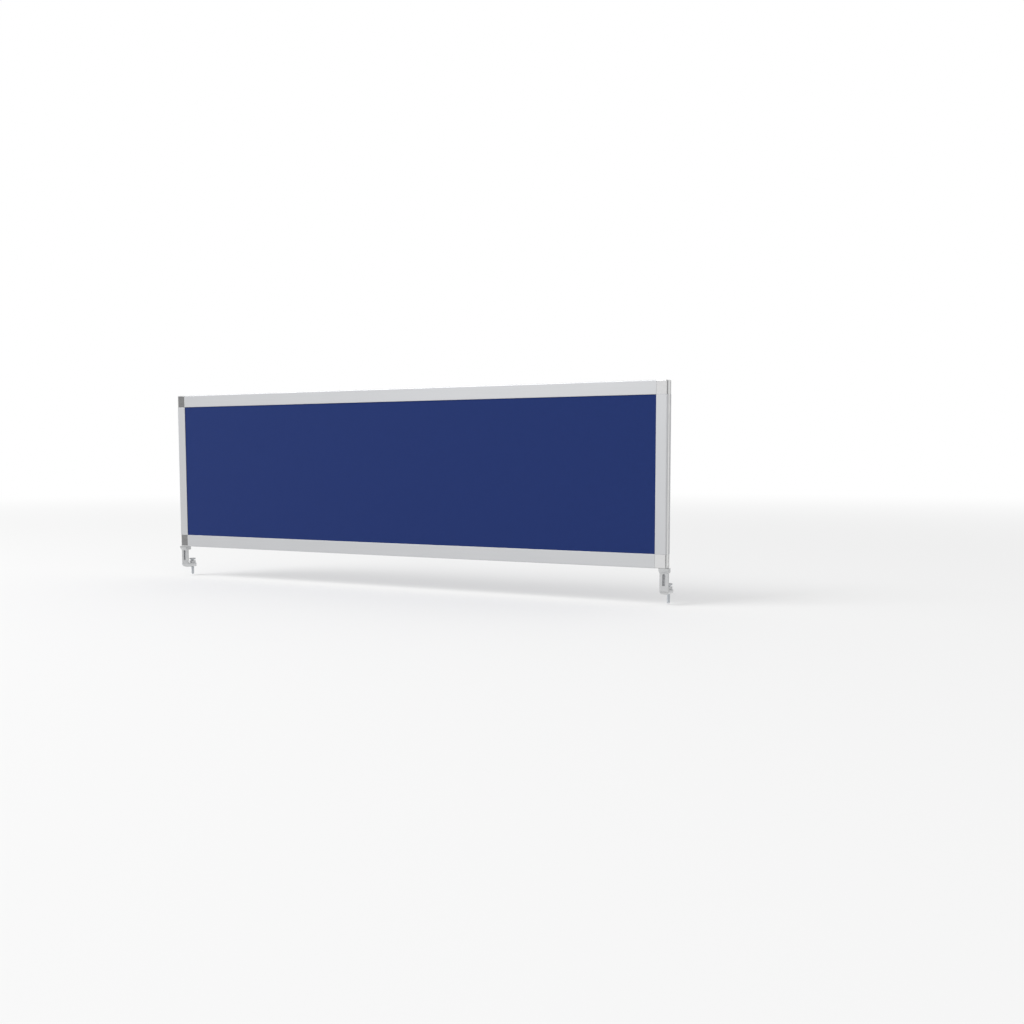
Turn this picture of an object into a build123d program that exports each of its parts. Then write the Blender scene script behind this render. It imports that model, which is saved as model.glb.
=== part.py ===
from build123d import *
import os

# A fabric-covered desk screen in an aluminium frame, held on the tabletop's rear edge by two screw clamps.
# X runs along the screen, -Y is its outer face, +Y is the side where the user sits, and Z is up.
# The origin lies midway along the screen, midway through its thickness, on the tabletop's upper surface.

# Screen, and the tabletop that it is set up for
screen_length = 1400.0
screen_height = 405.0
frame_depth = 26.0
rail_face = 31.0
stile_face = 25.5
desk_clearance = 10.0
tabletop_thickness = 25.0

# Extruded profiles: a closed chamber outside, an open channel for the panel inside
profile_wall = 1.6
rail_lip = 9.5
stile_lip = 8.5
rail_edge_radius = 2.0
stile_edge_radius = 3.0
lip_tip_radius = 0.6
end_groove_width = 9.0
end_groove_depth = 4.0

# Panel: a board with cloth stretched over each face
cloth_thickness = 0.8
panel_side_clearance = 0.1
panel_edge_clearance = 0.8

# Plastic strip that closes the groove in each end
strip_clearance = 0.1
strip_recess = 0.5
strip_crown = 0.4
strip_end_gap = 0.5

# Corner connectors
corner_radius = 4.0
corner_seam = 0.4
leg_clearance = 0.1
rail_leg_length = 38.0
stile_leg_length = 34.0
leg_end_chamfer = 1.5

# Clamp brackets
clamp_inset = 6.5
clamp_width = 21.0
spine_setback = 6.7
desk_edge_setback = 12.0
head_inset = 1.0
head_face_height = 4.0
head_corner_radius = 7.0
neck_height = 7.0
jaw_thickness = 10.0
jaw_heel_radius = 9.0
jaw_throat_radius = 5.0
jaw_edge_radius = 1.2
jaw_corner_radius = 8.0
screw_reach = 24.0
boss_radius = 8.5
boss_height = 6.5
window_width = 6.5
window_sill = 20.0
window_lintel = 1.0

# Rubber liner on each bracket's seat and spine
liner_thickness = 1.5
liner_side_margin = 1.0
liner_tail = 4.0

# Countersunk machine screws that hold each bracket to the frame
fixing_radius = 2.0
fixing_head_radius = 4.0
fixing_length = 16.0
fixing_end_chamfer = 0.5
fixing_socket_width = 2.5
fixing_socket_depth = 1.4
fixing_hole_clearance = 0.25
fixing_seat_clearance = 0.05
fixing_spacing = 9.0
fixing_end_inset = 7.7
fixing_groove_wall = 0.95
fixing_seat_margin = 0.45
tapped_hole_depth = 12.0
tapped_hole_clearance = 0.05

# Clamp screw and its swivelling pressure pad
clamp_screw_radius = 4.0
clamp_screw_clearance = 0.05
screw_tail = 21.0
screw_point_height = 2.5
screw_point_width = 1.2
screw_socket_width = 4.0
screw_socket_depth = 4.0
nose_radius = 2.5
nose_length = 1.8
nose_clearance = 0.05
nose_end_clearance = 0.1
pad_radius = 8.5
pad_plate_thickness = 2.4
pad_rubber_thickness = 1.5
pad_edge_chamfer = 0.4
pad_drop = 2.6

# How far cuts run past the solids that they go through
overrun = 1.0

# Places worked out from the sizes above
half_length = screen_length / 2
half_depth = frame_depth / 2
frame_bottom = desk_clearance
frame_top = frame_bottom + screen_height
rail_length = screen_length - 2 * stile_face
stile_length = screen_height - 2 * rail_face
channel_width = frame_depth - 2 * profile_wall
rail_chamber = rail_face - rail_lip - 2 * profile_wall
stile_chamber = stile_face - stile_lip - end_groove_depth - 2 * profile_wall
rail_leg_centre = profile_wall + rail_chamber / 2
stile_leg_centre = end_groove_depth + profile_wall + stile_chamber / 2
board_thickness = channel_width - 2 * (cloth_thickness + panel_side_clearance)
panel_length = rail_length + 2 * (stile_lip - panel_edge_clearance)
panel_bottom = frame_bottom + rail_face - rail_lip
panel_top = frame_top - rail_face + rail_lip - panel_edge_clearance
panel_height = panel_top - panel_bottom
panel_middle = (panel_bottom + panel_top) / 2
spine_front = spine_setback - half_depth
desk_edge = desk_edge_setback - half_depth
spine_back = desk_edge - liner_thickness
head_front = head_inset - half_depth
neck_top = frame_bottom - head_face_height
neck_bottom = neck_top - neck_height
screw_axis = desk_edge + screw_reach
pad_top = -tabletop_thickness
plate_top = pad_top - pad_rubber_thickness
plate_bottom = plate_top - pad_plate_thickness
boss_top = plate_bottom - pad_drop
jaw_top = boss_top - boss_height
jaw_bottom = jaw_top - jaw_thickness
screw_tip = jaw_bottom - screw_tail
screw_shoulder = plate_bottom - nose_end_clearance
fixing_back = end_groove_width / 2 + fixing_groove_wall + tapped_hole_clearance + fixing_radius
head_back = fixing_back + fixing_head_radius + fixing_seat_clearance + fixing_seat_margin
seat_thickness = frame_bottom - liner_thickness

sides = {"left": -1, "right": 1}
levels = {"bottom": -1, "top": 1}

os.makedirs("parts", exist_ok=True)


def save(piece, name):
    """Labels a finished piece and writes it to a STEP file of the same name."""
    piece.part.label = name
    export_step(piece.part, f"parts/{name}.step")
    print(f"{name}: {len(piece.part.solids())} solid(s), {piece.part.volume:.0f} mm3")


def draw_profile(face, lip, edge_radius, groove_depth):
    """Draws a frame profile's section: local X runs inwards from its outer face, local Y through the frame."""
    chamber_start = groove_depth + profile_wall
    chamber_end = face - lip - profile_wall
    with Locations((face / 2, 0)):
        Rectangle(face, frame_depth)
    fillet(vertices().group_by(Axis.X)[0], edge_radius)
    fillet(vertices().group_by(Axis.X)[-1], lip_tip_radius)
    with Locations(((chamber_start + chamber_end) / 2, 0)):
        Rectangle(chamber_end - chamber_start, channel_width, mode=Mode.SUBTRACT)
    with Locations((face - lip / 2, 0)):
        Rectangle(lip, channel_width, mode=Mode.SUBTRACT)
    if groove_depth > 0:
        with Locations((groove_depth / 2, 0)):
            Rectangle(groove_depth, end_groove_width, mode=Mode.SUBTRACT)


def make_rail(upwards):
    """A horizontal profile between the connectors, its channel towards the panel."""
    outer_level = frame_top if upwards > 0 else frame_bottom
    section = Plane(origin=(-rail_length / 2, 0, outer_level), x_dir=(0, 0, -upwards), z_dir=(1, 0, 0))
    with BuildPart() as rail:
        with BuildSketch(section):
            draw_profile(rail_face, rail_lip, rail_edge_radius, 0)
        extrude(amount=rail_length)
    return rail


def make_stile(outwards):
    """An upright profile between the connectors, with a groove in its outer face."""
    foot = frame_bottom + rail_face
    section = Plane(origin=(outwards * half_length, 0, foot), x_dir=(-outwards, 0, 0), z_dir=(0, 0, 1))
    with BuildPart() as stile:
        with BuildSketch(section):
            draw_profile(stile_face, stile_lip, stile_edge_radius, end_groove_depth)
        extrude(amount=stile_length)
    return stile


def make_strip(outwards):
    """A slightly crowned strip that fills the end groove over the stile and both connectors."""
    foot = frame_bottom + strip_end_gap
    section = Plane(origin=(outwards * half_length, 0, foot), x_dir=(-outwards, 0, 0), z_dir=(0, 0, 1))
    half_width = end_groove_width / 2 - strip_clearance
    shoulder = strip_recess + strip_crown
    with BuildPart() as strip:
        with BuildSketch(section):
            with BuildLine():
                ThreePointArc((shoulder, -half_width), (strip_recess, 0), (shoulder, half_width))
                Polyline(
                    (shoulder, half_width),
                    (end_groove_depth, half_width),
                    (end_groove_depth, -half_width),
                    (shoulder, -half_width),
                )
            make_face()
        extrude(amount=screen_height - 2 * strip_end_gap)
    return strip


def fixing_points(outwards):
    """The places of a bracket's two fixing screws, seen from above."""
    middle = half_length - fixing_end_inset
    return [(outwards * (middle + step * fixing_spacing / 2), fixing_back) for step in (-1, 1)]


def make_corner(outwards, upwards):
    """A cast block in the frame's corner, with a leg in each profile and a pocket for the panel's corner."""
    outer_level = frame_top if upwards > 0 else frame_bottom
    inner_end = outwards * (half_length - stile_face)
    inwards = (-outwards, 0, 0)
    base = Plane(origin=(outwards * half_length, 0, outer_level), x_dir=inwards, z_dir=(0, 0, -upwards))
    rail_leg_level = outer_level - upwards * rail_leg_centre
    rail_end = Plane(origin=(inner_end, 0, rail_leg_level), x_dir=(0, 0, 1), z_dir=inwards)
    with BuildPart() as corner:
        with BuildSketch(base):
            with Locations((stile_face / 2, 0)):
                Rectangle(stile_face, frame_depth)
            fillet(vertices().group_by(Axis.X)[0], corner_radius)
        extrude(amount=rail_face)
        rim = faces().sort_by(Axis.Z)[-1 if upwards > 0 else 0].edges().sort_by(Axis.X)
        fillet(rim[1:] if outwards > 0 else rim[:-1], rail_edge_radius)
        stile_joint = faces().sort_by(Axis.Z)[0 if upwards > 0 else -1]
        rail_joint = faces().sort_by(Axis.X)[0 if outwards > 0 else -1]
        chamfer(stile_joint.edges() + rail_joint.edges(), corner_seam)
        with BuildSketch(base):
            with Locations((end_groove_depth / 2, 0)):
                Rectangle(end_groove_depth, end_groove_width)
        extrude(amount=rail_face, mode=Mode.SUBTRACT)
        with BuildSketch(base.offset(rail_face - rail_lip)):
            with Locations((stile_face - stile_lip / 2, 0)):
                Rectangle(stile_lip, channel_width)
        extrude(amount=rail_lip, mode=Mode.SUBTRACT)
        with BuildSketch(base.offset(rail_face)):
            with Locations((stile_leg_centre, 0)):
                Rectangle(stile_chamber - 2 * leg_clearance, channel_width - 2 * leg_clearance)
        extrude(amount=stile_leg_length)
        stile_leg_end = faces().sort_by(Axis.Z)[0 if upwards > 0 else -1]
        chamfer(stile_leg_end.edges(), leg_end_chamfer)
        with BuildSketch(rail_end):
            Rectangle(rail_chamber - 2 * leg_clearance, channel_width - 2 * leg_clearance)
        extrude(amount=rail_leg_length)
        rail_leg_end = faces().sort_by(Axis.X)[0 if outwards > 0 else -1]
        chamfer(rail_leg_end.edges(), leg_end_chamfer)
        if upwards < 0:
            for x, y in fixing_points(outwards):
                with Locations(Plane(origin=(x, y, frame_bottom), z_dir=(0, 0, -1))):
                    Hole(fixing_radius + tapped_hole_clearance, tapped_hole_depth)
    return corner


def make_board():
    """The panel's stiff core, standing on the bottom rail's channel floor."""
    with BuildPart() as board:
        with BuildSketch(Plane.XY.offset(panel_bottom)):
            Rectangle(panel_length, board_thickness)
        extrude(amount=panel_height)
    return board


def make_cloth(towards):
    """A cloth sheet stretched flat over one face of the board."""
    face = Plane(origin=(0, towards * board_thickness / 2, panel_middle), x_dir=(1, 0, 0), z_dir=(0, towards, 0))
    with BuildPart() as cloth:
        with BuildSketch(face):
            Rectangle(panel_length, panel_height)
        extrude(amount=cloth_thickness)
    return cloth


def make_bracket(outwards):
    """A cast bracket: a seat under the frame, a windowed spine behind the desk's edge, and a jaw under it."""
    centre = outwards * (half_length - clamp_inset)
    half_clamp = clamp_width / 2
    with BuildPart() as bracket:
        # Spine and jaw, with the jaw's round end and the boss that the clamp screw is threaded through
        with BuildSketch(Plane.YZ.offset(centre)):
            with BuildLine():
                Polyline(
                    (spine_front, frame_bottom),
                    (spine_back, frame_bottom),
                    (spine_back, jaw_top),
                    (screw_axis, jaw_top),
                    (screw_axis, jaw_bottom),
                    (spine_front, jaw_bottom),
                    close=True,
                )
            make_face()
            throat = vertices().sort_by_distance((spine_back, jaw_top))[0]
            fillet(throat, jaw_throat_radius)
            heel = vertices().sort_by_distance((spine_front, jaw_bottom))[0]
            fillet(heel, jaw_heel_radius)
        extrude(amount=half_clamp, both=True)
        with BuildSketch(Plane.XY.offset(jaw_bottom)):
            with Locations((centre, screw_axis)):
                Circle(half_clamp)
        extrude(amount=jaw_thickness)
        front_face = faces().sort_by(Axis.Y)[0]
        heel_face = faces().filter_by(GeomType.CYLINDER).sort_by(Axis.Y)[0]
        bottom_face = faces().sort_by(Axis.Z)[0]
        rim = front_face.edges() + heel_face.edges() + bottom_face.edges()
        fillet(rim.filter_by(Axis.X, reverse=True), jaw_edge_radius)
        # Outline of the spine and jaw seen from the front, rounded at its lower corners
        with BuildSketch(Plane.XZ):
            with Locations((centre, (frame_bottom + jaw_bottom) / 2)):
                Rectangle(clamp_width, frame_bottom - jaw_bottom)
            fillet(vertices().group_by(Axis.Y)[0], jaw_corner_radius)
        extrude(amount=screw_axis + half_clamp + overrun, both=True, mode=Mode.INTERSECT)
        with BuildSketch(Plane.XY.offset(jaw_top)):
            with Locations((centre, screw_axis)):
                Circle(boss_radius)
        extrude(amount=boss_height)
        # Head in front of the spine, tapered down to it
        with BuildSketch(Plane.YZ.offset(centre)):
            with BuildLine():
                Polyline(
                    (head_front, frame_bottom),
                    (spine_back, frame_bottom),
                    (spine_back, neck_bottom),
                    (spine_front, neck_bottom),
                    (head_front, neck_top),
                    close=True,
                )
            make_face()
        extrude(amount=half_clamp, both=True)
        # Seat behind the spine, under the frame, rounded at its far corners
        with BuildSketch(Plane.XY.offset(liner_thickness)):
            with Locations((centre, (spine_back + head_back) / 2)):
                Rectangle(clamp_width, head_back - spine_back)
            fillet(vertices().group_by(Axis.Y)[-1], head_corner_radius)
        extrude(amount=seat_thickness)
        with Locations((centre, screw_axis, boss_top)):
            Hole(clamp_screw_radius)
        # Window in the spine, square at its sill and round at its top
        window_bottom = jaw_bottom + window_sill
        window_top = neck_bottom - window_lintel
        window_side = window_top - window_width / 2 - window_bottom
        with BuildSketch(Plane.XZ.offset(-spine_back)):
            with Locations((centre, window_bottom + window_side / 2)):
                Rectangle(window_width, window_side)
            with Locations((centre, window_bottom + window_side)):
                Circle(window_width / 2)
        extrude(amount=spine_back - spine_front + overrun, mode=Mode.SUBTRACT)
        for x, y in fixing_points(outwards):
            with Locations(Plane(origin=(x, y, liner_thickness), z_dir=(0, 0, -1))):
                CounterSinkHole(
                    fixing_radius + fixing_hole_clearance,
                    fixing_head_radius + fixing_seat_clearance,
                    depth=seat_thickness + overrun,
                    counter_sink_angle=90,
                )
    return bracket


def make_liner(outwards):
    """A rubber liner: its upper leg rests on the tabletop, its lower leg against the tabletop's edge."""
    centre = outwards * (half_length - clamp_inset)
    seat_back = head_back - liner_side_margin
    with BuildPart() as liner:
        with BuildSketch(Plane.XY):
            with Locations((centre, (spine_back + seat_back) / 2)):
                Rectangle(clamp_width - 2 * liner_side_margin, seat_back - spine_back)
            fillet(vertices().group_by(Axis.Y)[-1], head_corner_radius - liner_side_margin)
        extrude(amount=liner_thickness)
        with BuildSketch(Plane.XY.offset(pad_top - liner_tail)):
            with Locations((centre, (spine_back + desk_edge) / 2)):
                Rectangle(clamp_width - 2 * liner_side_margin, liner_thickness)
        extrude(amount=tabletop_thickness + liner_tail)
    return liner


def make_fixing_screws(outwards):
    """Two flat-headed socket screws, driven up through the seat into the frame's bottom corner."""
    head_height = fixing_head_radius - fixing_radius
    with BuildPart() as screws:
        with Locations(*[(x, y, liner_thickness) for x, y in fixing_points(outwards)]):
            Cone(
                fixing_head_radius,
                fixing_radius,
                head_height,
                align=(Align.CENTER, Align.CENTER, Align.MIN),
            )
            Cylinder(
                fixing_radius,
                fixing_length,
                align=(Align.CENTER, Align.CENTER, Align.MIN),
            )
        chamfer(faces().group_by(Axis.Z)[-1].edges(), fixing_end_chamfer)
        with BuildSketch(Plane.XY.offset(liner_thickness)):
            with Locations(*fixing_points(outwards)):
                RegularPolygon(fixing_socket_width / 2, 6, major_radius=False)
        extrude(amount=fixing_socket_depth, mode=Mode.SUBTRACT)
    return screws


def make_clamp_screw(outwards):
    """A headless screw: a nose that turns in the pad's plate, a threaded shank and a pointed end with a socket."""
    centre = outwards * (half_length - clamp_inset)
    shank_radius = clamp_screw_radius - clamp_screw_clearance
    nose_top = plate_bottom + nose_length
    with BuildPart() as screw:
        with BuildSketch(Plane.XZ.offset(-screw_axis)):
            with BuildLine():
                Polyline(
                    (centre, screw_tip),
                    (centre + shank_radius - screw_point_width, screw_tip),
                    (centre + shank_radius, screw_tip + screw_point_height),
                    (centre + shank_radius, screw_shoulder),
                    (centre + nose_radius, screw_shoulder),
                    (centre + nose_radius, nose_top),
                    (centre, nose_top),
                    close=True,
                )
            make_face()
        revolve(axis=Axis((centre, screw_axis, screw_tip), (0, 0, 1)))
        with BuildSketch(Plane.XY.offset(screw_tip)):
            with Locations((centre, screw_axis)):
                RegularPolygon(screw_socket_width / 2, 6, major_radius=False)
        extrude(amount=screw_socket_depth, mode=Mode.SUBTRACT)
    return screw


def make_pad_plate(outwards):
    """The pad's metal plate, with a blind socket that the screw's nose turns in."""
    centre = outwards * (half_length - clamp_inset)
    with BuildPart() as plate:
        with BuildSketch(Plane.XY.offset(plate_bottom)):
            with Locations((centre, screw_axis)):
                Circle(pad_radius)
        extrude(amount=pad_plate_thickness)
        chamfer(faces().sort_by(Axis.Z)[0].edges(), pad_edge_chamfer)
        with Locations(Plane(origin=(centre, screw_axis, plate_bottom), z_dir=(0, 0, -1))):
            Hole(nose_radius + nose_clearance, nose_length + nose_end_clearance)
    return plate


def make_pad_face(outwards):
    """The rubber disc on the plate, which presses on the tabletop's underside."""
    centre = outwards * (half_length - clamp_inset)
    with BuildPart() as face:
        with BuildSketch(Plane.XY.offset(plate_top)):
            with Locations((centre, screw_axis)):
                Circle(pad_radius)
        extrude(amount=pad_rubber_thickness)
        chamfer(faces().sort_by(Axis.Z)[-1].edges(), pad_edge_chamfer)
    return face


for level, upwards in levels.items():
    save(make_rail(upwards), f"{level}_rail")
    for side, outwards in sides.items():
        save(make_corner(outwards, upwards), f"{level}_{side}_corner")

save(make_board(), "panel_core")
save(make_cloth(-1), "outer_cloth")
save(make_cloth(1), "inner_cloth")

for side, outwards in sides.items():
    save(make_stile(outwards), f"{side}_stile")
    save(make_strip(outwards), f"{side}_groove_strip")
    save(make_bracket(outwards), f"{side}_clamp_bracket")
    save(make_liner(outwards), f"{side}_clamp_liner")
    save(make_fixing_screws(outwards), f"{side}_fixing_screws")
    save(make_clamp_screw(outwards), f"{side}_clamp_screw")
    save(make_pad_plate(outwards), f"{side}_pad_plate")
    save(make_pad_face(outwards), f"{side}_pad_face")
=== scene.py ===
import math

import bpy
import numpy as np
from mathutils import Matrix, Vector


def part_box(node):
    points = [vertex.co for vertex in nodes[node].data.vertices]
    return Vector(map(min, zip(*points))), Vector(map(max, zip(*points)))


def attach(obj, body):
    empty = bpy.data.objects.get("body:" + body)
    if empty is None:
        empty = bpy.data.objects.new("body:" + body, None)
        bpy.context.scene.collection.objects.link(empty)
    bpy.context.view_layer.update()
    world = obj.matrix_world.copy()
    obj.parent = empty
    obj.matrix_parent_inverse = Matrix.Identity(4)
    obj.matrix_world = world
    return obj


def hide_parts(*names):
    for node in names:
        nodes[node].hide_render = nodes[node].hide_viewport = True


# The looks of a fabric-covered desk screen: anodised profiles, cast corners and clamps, and stretched cloths.
# Lengths are in metres unless a name ends in _mm. X runs along the screen, -Y is its outer face, Z is up.

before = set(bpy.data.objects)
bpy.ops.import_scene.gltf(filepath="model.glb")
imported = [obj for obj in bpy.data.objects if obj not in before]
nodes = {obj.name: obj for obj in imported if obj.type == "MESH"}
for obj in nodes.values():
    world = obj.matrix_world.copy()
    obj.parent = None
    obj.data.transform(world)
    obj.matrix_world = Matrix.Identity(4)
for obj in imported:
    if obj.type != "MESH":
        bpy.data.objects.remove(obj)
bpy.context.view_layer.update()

# Edges of the new pieces that turn by less than this are shaded smooth
smooth_angle = math.radians(35)

# Cloth: the frame's lips cover its border, and the pull of its fixing leaves faint waves inside that
lip_cover = 0.009
wave_fade = 0.05
wave_height = 0.00015
cloth_steps_along = 200
cloth_steps_up = 56

# Each wave's radians for a metre along and for a metre up, and where it starts
wave_shapes = ((9, 5, 0), (17, -11, 1), (6, 23, 2))

# Cloth's weave: yarns lie 0.9 mm apart, drawn 2.4 mm apart so that they show, with tones drawn out along them
yarn_mm = 2.4
slub_squeeze = 0.08

# Clamp screws: an 8 mm thread of 1.25 mm pitch, with the shares of it that its root and a flank take up
thread_pitch = 0.00125
thread_crest = 0.00393
thread_root = 0.0033
root_share = 0.25
flank_share = 0.625
thread_steps = 10
screw_shoulder = 0.0019
screw_point_height = 0.0025
screw_point_radius = 0.00275
screw_nose_radius = 0.00248
screw_nose_chamfer = 0.0003
socket_half_flats = 0.002
socket_depth = 0.004
socket_lead = 0.0003
round_steps = 48

# Camera: fitted to the straight edges in the photograph, whose principal point lies below its middle
camera_place = Vector((1.60404, -2.38053, 0.25307))
camera_turn = 0.4957
camera_dip = 0.0849
camera_roll = -0.0012
camera_lens_mm = 41.196
camera_sensor_mm = 36.0
picture_width_px = 1024
camera_rise_px = 43.65

# Light: a soft sky, a large lamp in front on the left, and a floor just under the clamp screws
sky_level = 0.76
lamp_power = 270.0
lamp_width = 3.8
lamp_place = Vector((-3.2, -4.0, 5.3))
lamp_target = Vector((0.0, 0.0, 0.2))
floor_level = -0.0715
floor_half_width = 30.0
floor_glow = 0.38
floor_fade_start = 1.0
floor_fade_end = 8.0

# Dark studio flags that only shiny things mirror: each one's bearing from +X, elevation and half width in
# degrees, how many times flatter than round it is, and its darkness. The left corners mirror the first, the
# right end's faces the second, its edges the third, and the rounded jaws the last.
flags = ((-134, 0, 9, 1.0, 0.68), (66, 0, 12, 1.0, 0.22), (8, 0, 58, 12.0, 0.66), (-100, -38, 22, 1.0, 0.35))
flag_soft_edge = 4


def linear(hex_colour):
    """An sRGB hex value as linear red, green, blue and alpha."""
    coded = [int(hex_colour[place : place + 2], 16) / 255 for place in (1, 3, 5)]
    return [c / 12.92 if c <= 0.04045 else ((c + 0.055) / 1.055) ** 2.4 for c in coded] + [1.0]


def per_metre(size_mm):
    """The texture scale whose cells are that many millimetres across."""
    return 1000 / size_mm


def add(tree, kind, inputs=None, **settings):
    """Adds a node, sets its properties, and gives each input a value or another node's output."""
    made = tree.nodes.new(kind)
    for name, value in settings.items():
        setattr(made, name, value)
    for name, value in (inputs or {}).items():
        if isinstance(value, bpy.types.NodeSocket):
            tree.links.new(value, made.inputs[name])
        else:
            made.inputs[name].default_value = value
    return made


def seen_directly(tree, path):
    """1 for the camera's own rays, mirrored ones and ones seen through glass, 0 for those that only light."""
    kinds = [path.outputs[f"Is {kind} Ray"] for kind in ("Camera", "Glossy", "Transmission")]
    seen = add(tree, "ShaderNodeMath", {0: kinds[0], 1: kinds[1]}, operation="MAXIMUM")
    return add(tree, "ShaderNodeMath", {0: seen.outputs[0], 1: kinds[2]}, operation="MAXIMUM").outputs[0]


def start_material(name, **sockets):
    """A new material, its node tree, its object coordinates, and its shader with those plain values set."""
    material = bpy.data.materials.new(name)
    material.use_nodes = True
    tree = material.node_tree
    shader = tree.nodes["Principled BSDF"]
    for socket, value in sockets.items():
        shader.inputs[socket.replace("_", " ")].default_value = value
    place = add(tree, "ShaderNodeTexCoord").outputs["Object"]
    return material, tree, place, shader


def finish_material(tree, shader, tone, colours, dullness, roughness, height, depth):
    """Joins a tone to two colours, a dullness to a range of roughness, and a height to a relief so deep."""
    low, high = [linear(colour) for colour in colours]
    colour = add(tree, "ShaderNodeMix", {0: tone, 6: low, 7: high}, data_type="RGBA")
    spread = add(tree, "ShaderNodeMapRange", {0: dullness, 3: roughness[0], 4: roughness[1]})
    relief = add(tree, "ShaderNodeBump", {"Height": height, "Distance": depth})
    tree.links.new(colour.outputs[2], shader.inputs["Base Color"])
    tree.links.new(spread.outputs[0], shader.inputs["Roughness"])
    tree.links.new(relief.outputs[0], shader.inputs["Normal"])


def anodised_aluminium(name, squeeze):
    """Extruded aluminium, etched and anodised: matt pale grey, with faint die lines along the profile."""
    material, tree, place, shader = start_material(name, Metallic=1.0)
    # Die lines are 0.1 to 0.5 mm wide and run the whole length; drawn 1.5 mm wide so that they show
    along = add(tree, "ShaderNodeMapping", {"Vector": place, "Scale": squeeze})
    line_waves = {"Vector": along.outputs[0], "Scale": per_metre(1.5), "Detail": 3.0}
    lines = add(tree, "ShaderNodeTexNoise", line_waves)
    # The etch before anodising leaves a grain of 0.1 mm, drawn at 0.8 mm
    etch = add(tree, "ShaderNodeTexNoise", {"Vector": place, "Scale": per_metre(0.8), "Detail": 2.0})
    # The oxide layer's tone drifts over 150 mm or so
    drift = add(tree, "ShaderNodeTexNoise", {"Vector": place, "Scale": per_metre(150), "Detail": 1.0})
    tone = add(tree, "ShaderNodeMix", {0: 0.45, 2: lines.outputs[0], 3: drift.outputs[0]})
    height = add(tree, "ShaderNodeMix", {0: 0.4, 2: lines.outputs[0], 3: etch.outputs[0]})
    finish_material(
        tree,
        shader,
        tone=tone.outputs[0],
        colours=("#C7C8CA", "#CFD0D2"),
        dullness=etch.outputs[0],
        roughness=(0.46, 0.58),
        height=height.outputs[0],
        depth=0.00003,
    )
    return material


def polished_casting():
    """Aluminium die casting, ground and polished: a soft mirror, slightly rippled, duller in patches."""
    material, tree, place, shader = start_material("polished_aluminium_casting", Metallic=1.0)
    # Polishing by hand leaves a ripple of about 4 mm
    ripple = add(tree, "ShaderNodeTexNoise", {"Vector": place, "Scale": per_metre(4), "Detail": 1.0})
    # Handling marks dull it in patches of about 9 mm
    patches = add(tree, "ShaderNodeTexNoise", {"Vector": place, "Scale": per_metre(9), "Detail": 4.0})
    finish_material(
        tree,
        shader,
        tone=patches.outputs[0],
        colours=("#D2D2D3", "#DADADA"),
        dullness=patches.outputs[0],
        roughness=(0.1, 0.18),
        height=ripple.outputs[0],
        depth=0.00002,
    )
    return material


def blasted_casting():
    """Aluminium die casting, shot blasted and lacquered: satin silver with an even fine grain."""
    material, tree, place, shader = start_material("blasted_aluminium_casting", Metallic=1.0)
    # Shot leaves dimples of 0.2 mm, drawn at 0.6 mm
    dimples = add(tree, "ShaderNodeTexVoronoi", {"Vector": place, "Scale": per_metre(0.6)})
    # The lacquer pools and thins over about 7 mm
    pooling = add(tree, "ShaderNodeTexNoise", {"Vector": place, "Scale": per_metre(7), "Detail": 2.0})
    finish_material(
        tree,
        shader,
        tone=pooling.outputs[0],
        colours=("#C3C4C5", "#CFD0D1"),
        dullness=pooling.outputs[0],
        roughness=(0.34, 0.46),
        height=dimples.outputs[0],
        depth=0.00004,
    )
    return material


def zinc_plated_steel():
    """Turned and rolled steel, zinc plated and passivated: bright bluish grey with a faint cloudiness."""
    material, tree, place, shader = start_material("zinc_plated_steel", Metallic=1.0)
    # Plating crystals are far under 0.1 mm; their clouds of about 1.2 mm are what the eye sees
    clouds = add(tree, "ShaderNodeTexNoise", {"Vector": place, "Scale": per_metre(1.2), "Detail": 4.0})
    finish_material(
        tree,
        shader,
        tone=clouds.outputs[0],
        colours=("#CACED1", "#D9DBDE"),
        dullness=clouds.outputs[0],
        roughness=(0.25, 0.4),
        height=clouds.outputs[0],
        depth=0.00002,
    )
    return material


def moulded_rubber():
    """Moulded grey rubber: matt mid grey with a fine grain and a trace of paler bloom."""
    material, tree, place, shader = start_material("moulded_rubber", IOR=1.52)
    # The mould's spark-eroded grain is 0.15 mm, drawn at 0.5 mm
    grain = add(tree, "ShaderNodeTexNoise", {"Vector": place, "Scale": per_metre(0.5), "Detail": 2.0})
    # Bloom lies in patches of about 10 mm
    bloom = add(tree, "ShaderNodeTexNoise", {"Vector": place, "Scale": per_metre(10), "Detail": 3.0})
    finish_material(
        tree,
        shader,
        tone=bloom.outputs[0],
        colours=("#A6A7A9", "#B6B7B9"),
        dullness=grain.outputs[0],
        roughness=(0.55, 0.75),
        height=grain.outputs[0],
        depth=0.0001,
    )
    return material


def extruded_plastic():
    """Extruded unplasticised PVC: pale grey satin plastic, with draw lines and a slight tone drift."""
    material, tree, place, shader = start_material("extruded_grey_plastic", IOR=1.53)
    # Draw lines are 0.1 mm wide and run the whole length, drawn 0.9 mm wide
    along = add(tree, "ShaderNodeMapping", {"Vector": place, "Scale": (1.0, 1.0, 0.01)})
    line_waves = {"Vector": along.outputs[0], "Scale": per_metre(0.9), "Detail": 2.0}
    lines = add(tree, "ShaderNodeTexNoise", line_waves)
    # The colour's mixing drifts over 60 mm or so
    drift = add(tree, "ShaderNodeTexNoise", {"Vector": place, "Scale": per_metre(60), "Detail": 2.0})
    finish_material(
        tree,
        shader,
        tone=drift.outputs[0],
        colours=("#EEEEED", "#F4F4F3"),
        dullness=lines.outputs[0],
        roughness=(0.35, 0.5),
        height=lines.outputs[0],
        depth=0.00002,
    )
    return material


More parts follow.
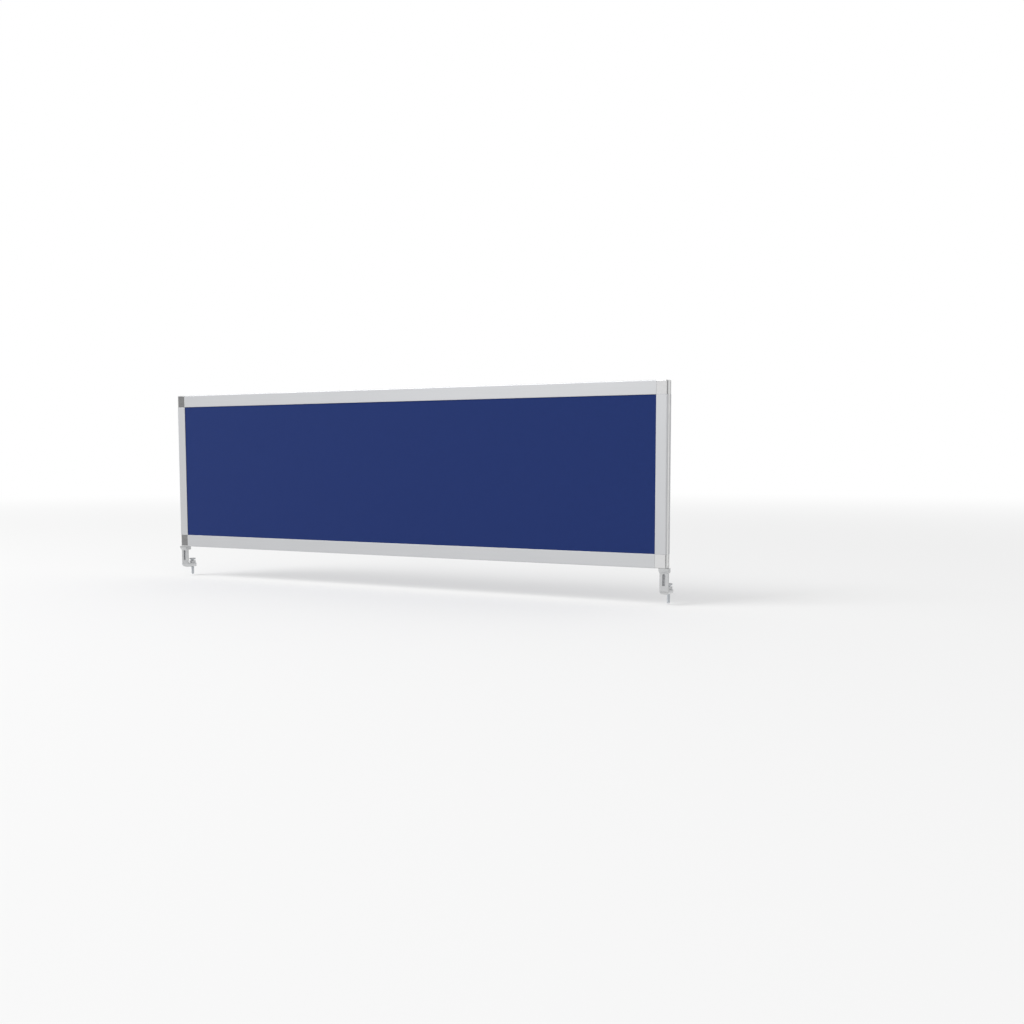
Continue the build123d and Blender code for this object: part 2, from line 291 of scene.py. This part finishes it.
def pressed_felt():
    """Pressed polyester felt board: grey melange fibres, quite matt."""
    material, tree, place, shader = start_material("pressed_felt", IOR=1.5, Sheen_Weight=0.2)
    # Fibres are 0.03 mm thick and lie in clumps of about 2 mm
    tangle = {"Vector": place, "Scale": per_metre(2), "Detail": 6.0, "Distortion": 1.5}
    clumps = add(tree, "ShaderNodeTexNoise", tangle)
    finish_material(
        tree,
        shader,
        tone=clumps.outputs[0],
        colours=("#5F5F62", "#A2A2A4"),
        dullness=clumps.outputs[0],
        roughness=(0.85, 0.98),
        height=clumps.outputs[0],
        depth=0.0004,
    )
    return material


def woven_cloth():
    """Plain-woven polyester panel cloth, piece dyed: deep matt blue, its two yarns slightly apart in tone."""
    plain = {"Specular_IOR_Level": 0.1, "Sheen_Weight": 0.04}
    material, tree, place, shader = start_material("woven_panel_cloth", **plain)
    weave = add(tree, "ShaderNodeUVMap", uv_map="weave").outputs[0]
    # A wave texture repeats every tenth of pi at a scale of 1, and a checker's squares are 1 wide
    waves = {"Vector": weave, "Scale": per_metre(yarn_mm) * math.pi / 10}
    warp = add(tree, "ShaderNodeTexWave", waves, bands_direction="X")
    weft = add(tree, "ShaderNodeTexWave", waves, bands_direction="Y")
    squares = add(tree, "ShaderNodeTexChecker", {"Vector": weave, "Scale": per_metre(yarn_mm)})
    over = squares.outputs["Fac"]
    height = add(tree, "ShaderNodeMix", {0: over, 2: warp.outputs["Fac"], 3: weft.outputs["Fac"]})
    # Each yarn's tone wanders along its own length, over about 30 mm, and from yarn to yarn
    warp_place = add(tree, "ShaderNodeMapping", {"Vector": weave, "Scale": (1.0, slub_squeeze, 1.0)})
    weft_place = add(tree, "ShaderNodeMapping", {"Vector": weave, "Scale": (slub_squeeze, 1.0, 1.0)})
    slubs = {"Scale": per_metre(yarn_mm), "Detail": 2.0}
    warp_tone = add(tree, "ShaderNodeTexNoise", {"Vector": warp_place.outputs[0], **slubs})
    weft_tone = add(tree, "ShaderNodeTexNoise", {"Vector": weft_place.outputs[0], **slubs})
    tone = add(tree, "ShaderNodeMix", {0: over, 2: warp_tone.outputs[0], 3: weft_tone.outputs[0]})
    # Painted shade: the colour is darker between the yarns, where light falls a little short
    shaded = add(tree, "ShaderNodeMix", {0: 0.35, 2: tone.outputs[0], 3: height.outputs[0]})
    finish_material(
        tree,
        shader,
        tone=shaded.outputs[0],
        colours=("#1E2F64", "#253872"),
        dullness=tone.outputs[0],
        roughness=(0.75, 0.92),
        height=height.outputs[0],
        depth=0.00025,
    )
    return material


def make_piece(name, points, faces, material, body):
    """A mesh piece of those points and faces, smooth but for its sharp edges, riding on a CAD body."""
    mesh = bpy.data.meshes.new(name)
    mesh.from_pydata(points.reshape(-1, 3).tolist(), [], faces)
    mesh.shade_smooth()
    mesh.set_sharp_from_angle(angle=smooth_angle)
    mesh.materials.append(material)
    piece = bpy.data.objects.new(name, mesh)
    bpy.context.scene.collection.objects.link(piece)
    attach(piece, body)
    return piece


def ease(distance, reach):
    """Rises smoothly from 0 to 1 as the distance goes from 0 to reach."""
    share = np.clip(distance / reach, 0, 1)
    return share * share * (3 - 2 * share)


def stretched_cloth(name, node, towards, material):
    """A closed thin sheet over a face of the board. Its back is flat. Its front is the back plus the cloth's
    thickness plus waves, which are a sum of sines of place, faded to nothing towards the frame's lips."""
    low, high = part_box(node)
    back = low.y if towards > 0 else high.y
    thickness = high.y - low.y
    along = np.linspace(low.x, high.x, cloth_steps_along + 1)
    up = np.linspace(low.z, high.z, cloth_steps_up + 1)
    x, z = np.meshgrid(along, up, indexing="ij")
    inset = np.minimum(np.minimum(x - low.x, high.x - x), np.minimum(z - low.z, high.z - z))
    waves = sum(np.sin(by_x * x + by_z * z + start) for by_x, by_z, start in wave_shapes)
    # The waves' sum, brought between 0 and 1
    swell = waves / (2 * len(wave_shapes)) + 0.5
    proud = wave_height * ease(inset - lip_cover, wave_fade) * swell
    front_points = np.stack([x, back + towards * (thickness + proud), z], axis=-1)
    back_points = np.stack([x, np.full_like(x, back), z], axis=-1)
    points = np.concatenate([front_points.reshape(-1, 3), back_points.reshape(-1, 3)])
    numbers = np.arange(x.size).reshape(x.shape)
    corners = (numbers[:-1, :-1], numbers[1:, :-1], numbers[1:, 1:], numbers[:-1, 1:])
    front = np.stack(corners, axis=-1).reshape(-1, 4)
    rim = np.concatenate([numbers[:-1, 0], numbers[-1, :-1], numbers[:0:-1, -1], numbers[0, :0:-1]])
    after = np.roll(rim, -1)
    sides = np.stack([after, rim, rim + x.size, after + x.size], axis=-1)
    faces = np.concatenate([front, front[:, ::-1] + x.size, sides])
    if towards > 0:
        faces = faces[:, ::-1]
    piece = make_piece(name, points, faces.tolist(), material, "screen")
    layer = piece.data.uv_layers.new(name="weave")
    loops = np.zeros(len(piece.data.loops), np.int32)
    piece.data.loops.foreach_get("vertex_index", loops)
    layer.data.foreach_set("uv", points[loops][:, (0, 2)].astype(np.float32).ravel())
    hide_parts(node)
    return piece


def threaded_screw(name, node, material, body):
    """A headless screw as a stack of rings: the radius is a function of turn and height. The thread is the
    distance to the helix, cut to flat crests and roots. The cone of the pointed end and the chamfer under the
    nose limit it. The socket in the pointed end is a hexagon, whose radius is half the width across its flats
    over the cosine of the angle off a flat."""
    low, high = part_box(node)
    middle_x = (low.x + high.x) / 2
    middle_y = (low.y + high.y) / 2
    shoulder = high.z - screw_shoulder
    turn = np.arange(round_steps) * 2 * math.pi / round_steps
    rings = int((shoulder - low.z) / thread_pitch * thread_steps)
    level = np.linspace(low.z, shoulder, rings)
    helix = (level[:, None] - low.z) / thread_pitch - turn[None, :] / (2 * math.pi)
    off_root = np.abs(2 * (helix % 1) - 1)
    rise = np.clip((off_root - root_share) / flank_share, 0, 1)
    thread = thread_root + (thread_crest - thread_root) * rise
    cone = screw_point_radius + (level - low.z) * (thread_crest - screw_point_radius) / screw_point_height
    chamfer = screw_nose_radius + (shoulder - level) + screw_nose_chamfer
    shank = np.minimum(thread, np.minimum(cone, chamfer)[:, None])
    off_flat = (turn + math.pi / 6) % (math.pi / 3) - math.pi / 6
    hexagon = socket_half_flats / np.cos(off_flat)
    nose = np.full(round_steps, screw_nose_radius)
    radius = np.concatenate(
        [
            hexagon[None, :],
            hexagon[None, :],
            hexagon[None, :] + socket_lead,
            shank,
            nose[None, :],
            nose[None, :],
            nose[None, :] - screw_nose_chamfer,
        ]
    )
    height = np.concatenate(
        [
            [low.z + socket_depth, low.z + socket_lead, low.z],
            level,
            [shoulder, high.z - screw_nose_chamfer, high.z],
        ]
    )
    x = middle_x + radius * np.cos(turn)
    y = middle_y + radius * np.sin(turn)
    z = np.broadcast_to(height[:, None], radius.shape)
    poles = [(middle_x, middle_y, low.z + socket_depth), (middle_x, middle_y, high.z)]
    points = np.concatenate([np.stack([x, y, z], axis=-1).reshape(-1, 3), poles])
    numbers = np.arange(radius.size).reshape(radius.shape)
    after = np.roll(numbers, -1, axis=1)
    walls = np.stack([numbers[:-1], after[:-1], after[1:], numbers[1:]], axis=-1).reshape(-1, 4)
    floor = np.stack([np.full(round_steps, radius.size), after[0], numbers[0]], axis=-1)
    top = np.stack([numbers[-1], after[-1], np.full(round_steps, radius.size + 1)], axis=-1)
    faces = walls.tolist() + floor.tolist() + top.tolist()
    piece = make_piece(name, points, faces, material, body)
    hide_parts(node)
    return piece


# Materials, and the CAD nodes that show as they are
rail_metal = anodised_aluminium("anodised_aluminium_rails", (0.01, 1.0, 1.0))
stile_metal = anodised_aluminium("anodised_aluminium_stiles", (1.0, 1.0, 0.01))
corner_metal = polished_casting()
clamp_metal = blasted_casting()
plated_steel = zinc_plated_steel()
rubber = moulded_rubber()
plastic = extruded_plastic()
felt = pressed_felt()
cloth = woven_cloth()

finishes = {"top_rail": rail_metal, "bottom_rail": rail_metal, "panel_core": felt}
for side in ("left", "right"):
    finishes[f"{side}_stile"] = stile_metal
    finishes[f"{side}_groove_strip"] = plastic
    finishes[f"top_{side}_corner"] = corner_metal
    finishes[f"bottom_{side}_corner"] = corner_metal
    finishes[f"{side}_clamp_bracket"] = clamp_metal
    finishes[f"{side}_clamp_liner"] = rubber
    finishes[f"{side}_pad_face"] = rubber
    finishes[f"{side}_pad_plate"] = plated_steel
    finishes[f"{side}_fixing_screws"] = plated_steel
for node, material in finishes.items():
    for slot in nodes[node].material_slots:
        slot.material = material

# Pieces that stand for a CAD node
stretched_cloth("outer_cloth_woven", "outer_cloth", -1, cloth)
stretched_cloth("inner_cloth_woven", "inner_cloth", 1, cloth)
for side in ("left", "right"):
    threaded_screw(f"{side}_threaded_screw", f"{side}_clamp_screw", plated_steel, f"{side}_screw")

# Sky: white where it is seen or mirrored but for the soft dark flags, and a plainer level where it lights
world = bpy.data.worlds.new("studio")
bpy.context.scene.world = world
world.use_nodes = True
tree = world.node_tree
tree.nodes.clear()
path = add(tree, "ShaderNodeLightPath")
direction = add(tree, "ShaderNodeTexCoord").outputs["Generated"]
mirrored = path.outputs["Is Glossy Ray"]
shade = 0.0
for bearing, elevation, half_width, flatness, darkness in flags:
    turn = math.radians(bearing)
    lift = math.radians(elevation)
    flat = add(tree, "ShaderNodeVectorMath", {0: direction, 1: (1.0, 1.0, flatness)}, operation="MULTIPLY")
    flat = add(tree, "ShaderNodeVectorMath", {0: flat.outputs[0]}, operation="NORMALIZE")
    middle = (math.cos(turn) * math.cos(lift), math.sin(turn) * math.cos(lift), math.sin(lift))
    facing = add(tree, "ShaderNodeVectorMath", {0: flat.outputs[0], 1: middle}, operation="DOT_PRODUCT")
    # A flag darkens from its outer edge to its inner one, both given as the cosine off its middle
    outer = math.cos(math.radians(half_width + flag_soft_edge))
    inner = math.cos(math.radians(half_width - flag_soft_edge))
    limits = {0: facing.outputs["Value"], 1: outer, 2: inner, 3: 0.0, 4: darkness}
    flag = add(tree, "ShaderNodeMapRange", limits, interpolation_type="SMOOTHSTEP")
    shade = add(tree, "ShaderNodeMath", {0: shade, 1: flag.outputs[0]}, operation="MAXIMUM").outputs[0]
shade = add(tree, "ShaderNodeMath", {0: shade, 1: mirrored}, operation="MULTIPLY").outputs[0]
bright = add(tree, "ShaderNodeMath", {0: 1.0, 1: shade}, operation="SUBTRACT").outputs[0]
seen = seen_directly(tree, path)
lighting = add(tree, "ShaderNodeBackground", {"Color": linear("#FFFFFF"), "Strength": sky_level})
showing = add(tree, "ShaderNodeBackground", {"Color": linear("#FFFFFF"), "Strength": bright})
sky = add(tree, "ShaderNodeMixShader", {0: seen, 1: lighting.outputs[0], 2: showing.outputs[0]})
add(tree, "ShaderNodeOutputWorld", {"Surface": sky.outputs[0]})

# Floor: pale and matt, keeping the shadow near the screen and running out to white; it is clear from below
floor_signs = ((-1, -1), (1, -1), (1, 1), (-1, 1))
floor_corners = [(x * floor_half_width, y * floor_half_width, floor_level) for x, y in floor_signs]
mesh = bpy.data.meshes.new("floor")
mesh.from_pydata(floor_corners, [], [(0, 1, 2, 3)])
floor = bpy.data.objects.new("floor", mesh)
bpy.context.scene.collection.objects.link(floor)
material, tree, place, shader = start_material("matt_floor_paint")
tree.nodes.remove(shader)
seen = seen_directly(tree, add(tree, "ShaderNodeLightPath"))
paint = add(tree, "ShaderNodeBsdfDiffuse", {"Color": linear("#E6E6E6")})
glow = add(tree, "ShaderNodeEmission", {"Color": linear("#FFFFFF"), "Strength": floor_glow})
shown_paint = add(tree, "ShaderNodeBsdfDiffuse", {"Color": linear("#BCBCBC")})
lit = add(tree, "ShaderNodeAddShader", {0: shown_paint.outputs[0], 1: glow.outputs[0]})
white = add(tree, "ShaderNodeEmission", {"Color": linear("#FFFFFF"), "Strength": 1.0})
away = add(tree, "ShaderNodeVectorMath", {0: place}, operation="LENGTH")
reach = {0: away.outputs["Value"], 1: floor_fade_start, 2: floor_fade_end}
fade = add(tree, "ShaderNodeMapRange", reach, interpolation_type="SMOOTHSTEP")
shown = add(tree, "ShaderNodeMixShader", {0: fade.outputs[0], 1: lit.outputs[0], 2: white.outputs[0]})
upper = add(tree, "ShaderNodeMixShader", {0: seen, 1: paint.outputs[0], 2: shown.outputs[0]})
clear = add(tree, "ShaderNodeBsdfTransparent")
under = add(tree, "ShaderNodeNewGeometry").outputs["Backfacing"]
surface = add(tree, "ShaderNodeMixShader", {0: under, 1: upper.outputs[0], 2: clear.outputs[0]})
tree.links.new(surface.outputs[0], tree.nodes["Material Output"].inputs["Surface"])
mesh.materials.append(material)
# Shiny things mirror the sky below the horizon instead, as the flags' places need
floor.visible_glossy = False

lamp_data = bpy.data.lights.new("front_left_lamp", "AREA")
lamp_data.shape = "SQUARE"
lamp_data.size = lamp_width
lamp_data.energy = lamp_power
lamp = bpy.data.objects.new("front_left_lamp", lamp_data)
lamp.location = lamp_place
lamp.rotation_mode = "QUATERNION"
lamp.rotation_quaternion = (lamp_target - lamp_place).to_track_quat("-Z", "Y")
bpy.context.scene.collection.objects.link(lamp)

camera_data = bpy.data.cameras.new("camera")
camera_data.lens = camera_lens_mm
camera_data.sensor_width = camera_sensor_mm
camera_data.shift_y = camera_rise_px / picture_width_px
camera = bpy.data.objects.new("camera", camera_data)
turned = Matrix.Rotation(camera_turn, 4, "Z") @ Matrix.Rotation(math.pi / 2 - camera_dip, 4, "X")
camera.matrix_world = Matrix.Translation(camera_place) @ turned @ Matrix.Rotation(camera_roll, 4, "Z")
bpy.context.scene.collection.objects.link(camera)
bpy.context.scene.camera = camera
bpy.context.scene.view_settings.view_transform = "Standard"
